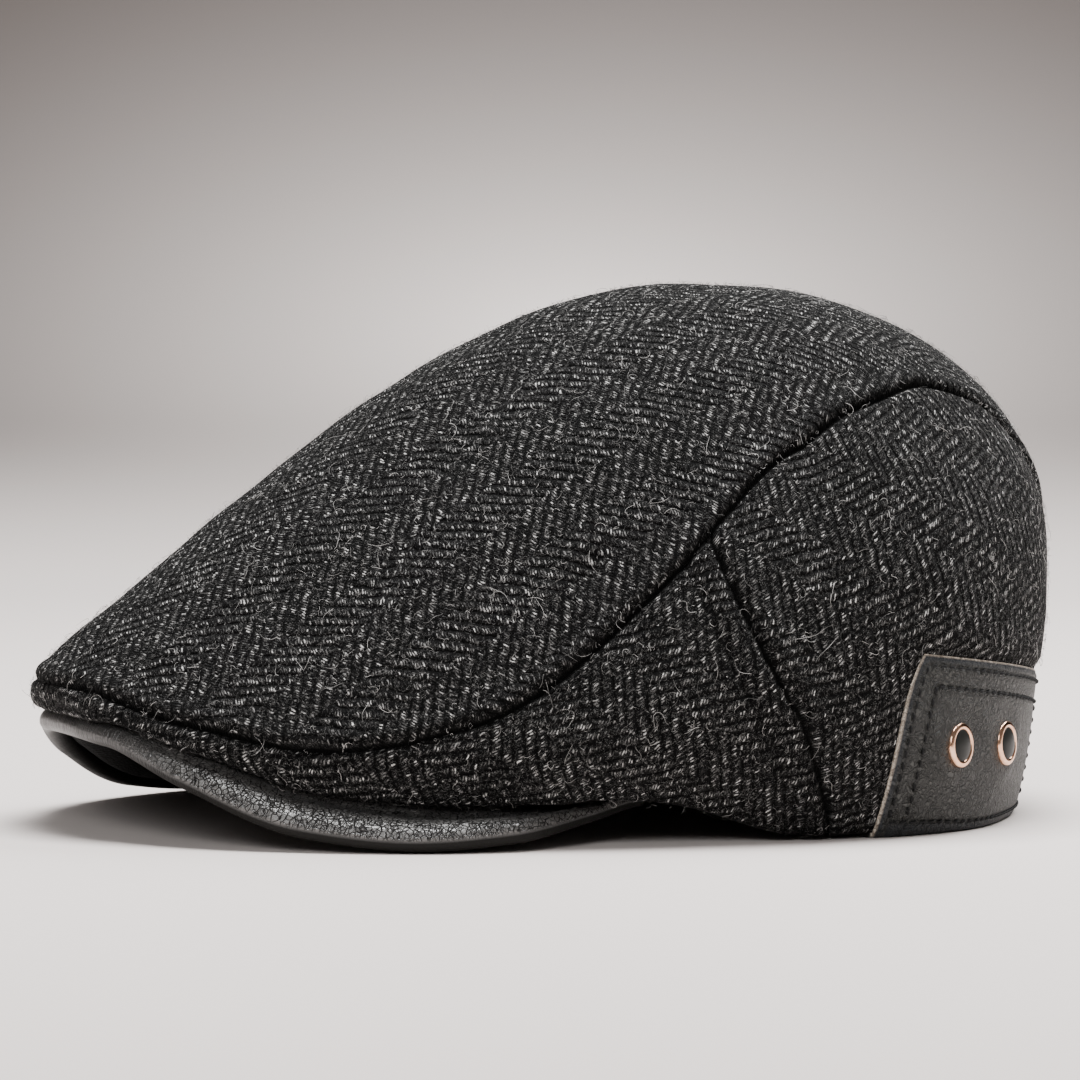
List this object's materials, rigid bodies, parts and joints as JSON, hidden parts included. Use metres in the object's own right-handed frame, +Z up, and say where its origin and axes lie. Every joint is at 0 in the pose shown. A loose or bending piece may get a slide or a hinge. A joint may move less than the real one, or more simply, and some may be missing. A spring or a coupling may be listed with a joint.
{
  "type": "flat cap",
  "caption": "Flat cap with a herringbone tweed crown, a leather-covered curved peak and a riveted leather patch wrapped round the back of the head opening.",
  "frame": {"origin": "on the surface the cap rests on, midway between its front and back and between its two sides", "axes": "+X to the wearer's left, -Y to the front (the peak), +Z up"},
  "size_m": [0.1878, 0.2484, 0.128],
  "materials": {
    "tweed": "charcoal herringbone wool tweed with grey flecks and loose fibres",
    "black_leather": "black grained leather with a satin sheen",
    "underside_leather": "dark smooth leather, dull",
    "grey_leather": "dark grey fine-grained leather with pale raw edges",
    "copper_metal": "polished rose-coloured metal",
    "dark_enamel": "smooth glossy dark enamel"
  },
  "bodies": {
    "root": {"top_panel": "tweed", "left_front_panel": "tweed", "right_front_panel": "tweed", "left_back_panel": "tweed", "right_back_panel": "tweed", "peak": "black_leather", "peak_underside": "underside_leather", "back_patch": "grey_leather", "left_front_stud_ring": "copper_metal", "left_front_stud_dome": "dark_enamel", "left_back_stud_ring": "copper_metal", "left_back_stud_dome": "dark_enamel", "right_front_stud_ring": "copper_metal", "right_front_stud_dome": "dark_enamel", "right_back_stud_ring": "copper_metal", "right_back_stud_dome": "dark_enamel"}
  },
  "joints": []
}
